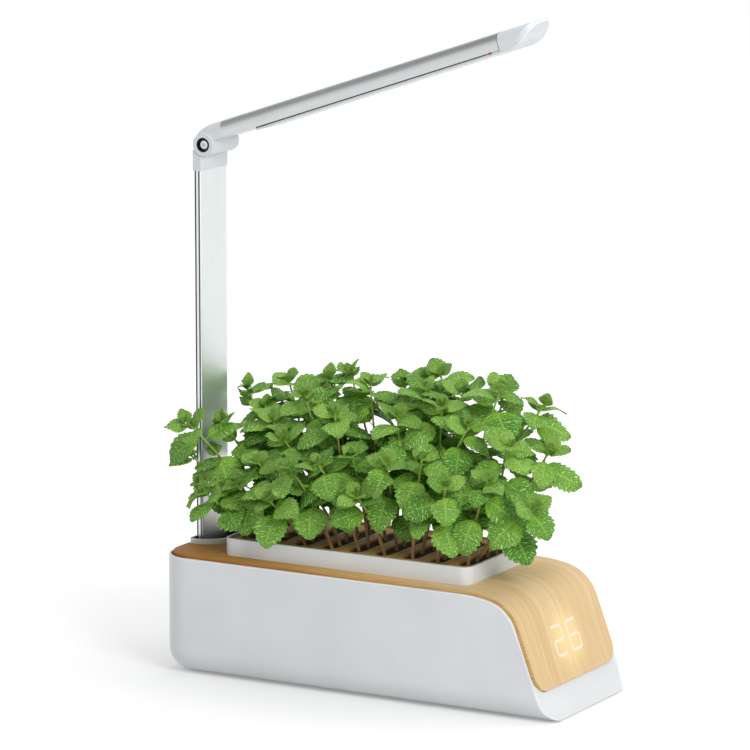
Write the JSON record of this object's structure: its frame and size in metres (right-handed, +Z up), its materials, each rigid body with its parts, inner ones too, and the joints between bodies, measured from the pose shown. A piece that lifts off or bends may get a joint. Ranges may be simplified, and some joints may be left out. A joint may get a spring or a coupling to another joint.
{
  "type": "countertop hydroponic garden",
  "caption": "Countertop hydroponic garden: long planter base with wooden deck, lift-out tray of mint and a tilting lamp arm on a flat mast.",
  "frame": {"origin": "on the surface that the garden stands on, under the middle of the base", "axes": "+Z up, +X along the base towards the sloping front with the display, +Y across the base"},
  "size_m": [0.38, 0.15, 0.5754],
  "materials": {
    "shell_white": "satin",
    "under_cover": "matte",
    "liner_grey": "matte",
    "wood_veneer": "satin",
    "board_wood": "matte",
    "display": "gloss",
    "display_box": "matte",
    "circuit_board": "satin",
    "pump_black": "matte",
    "tube_clear": "satin",
    "rubber_grey": "matte",
    "screw_steel": "satin",
    "mast_mirror": "polished",
    "arm_aluminium": "satin",
    "hinge_plastic": "satin",
    "washer_nylon": "satin",
    "lens_diffuser": "satin",
    "led_yellow": "gloss",
    "indicator_red": "gloss",
    "sponge_brown": "matte",
    "mint_green": "matte"
  },
  "bodies": {
    "base": {"base_shell": "shell_white", "rubber_feet": "rubber_grey", "service_cover": "under_cover", "cover_screws": "screw_steel", "rear_deck": "wood_veneer", "front_deck": "wood_veneer", "display_digits": "display", "deck_screws": "screw_steel", "display_holder": "display_box", "board_bracket": "liner_grey", "control_board": "circuit_board", "inner_tank": "liner_grey", "water_pump": "pump_black", "pump_tube": "tube_clear", "level_probe": "pump_black", "power_socket": "pump_black", "mast_profile": "mast_mirror", "mast_socket": "liner_grey", "socket_screws": "screw_steel", "mast_collar": "hinge_plastic", "filler_strainer": "pump_black", "mast_cap": "hinge_plastic"},
    "lamp_arm": {"arm_knuckle": "hinge_plastic", "hinge_bolt": "screw_steel", "hinge_nut": "screw_steel", "friction_washers": "washer_nylon", "hinge_plug": "hinge_plastic", "arm_shell": "arm_aluminium", "arm_tip_cap": "hinge_plastic", "arm_indicator": "indicator_red", "arm_lens": "lens_diffuser", "led_board": "arm_aluminium", "led_chips": "led_yellow"},
    "planter": {"planting_tray": "shell_white", "planting_board": "board_wood", "grow_sponges": "sponge_brown", "mint_row_1": "mint_green", "mint_row_2": "mint_green", "mint_row_3": "mint_green", "mint_row_4": "mint_green", "mint_row_5": "mint_green", "mint_row_6": "mint_green", "mint_row_7": "mint_green", "mint_row_8": "mint_green", "mint_row_9": "mint_green"}
  },
  "joints": [
    {"name": "lamp_tilt", "type": "hinge", "parent": "base", "child": "lamp_arm", "pos_m": [-0.1723, 0, 0.4519], "axis": [0, -1, 0], "range_deg": [-14, 60]},
    {"name": "tray_lift", "type": "slide", "parent": "base", "child": "planter", "axis": [0, 0, 1], "range_m": [0, 0.08]}
  ]
}
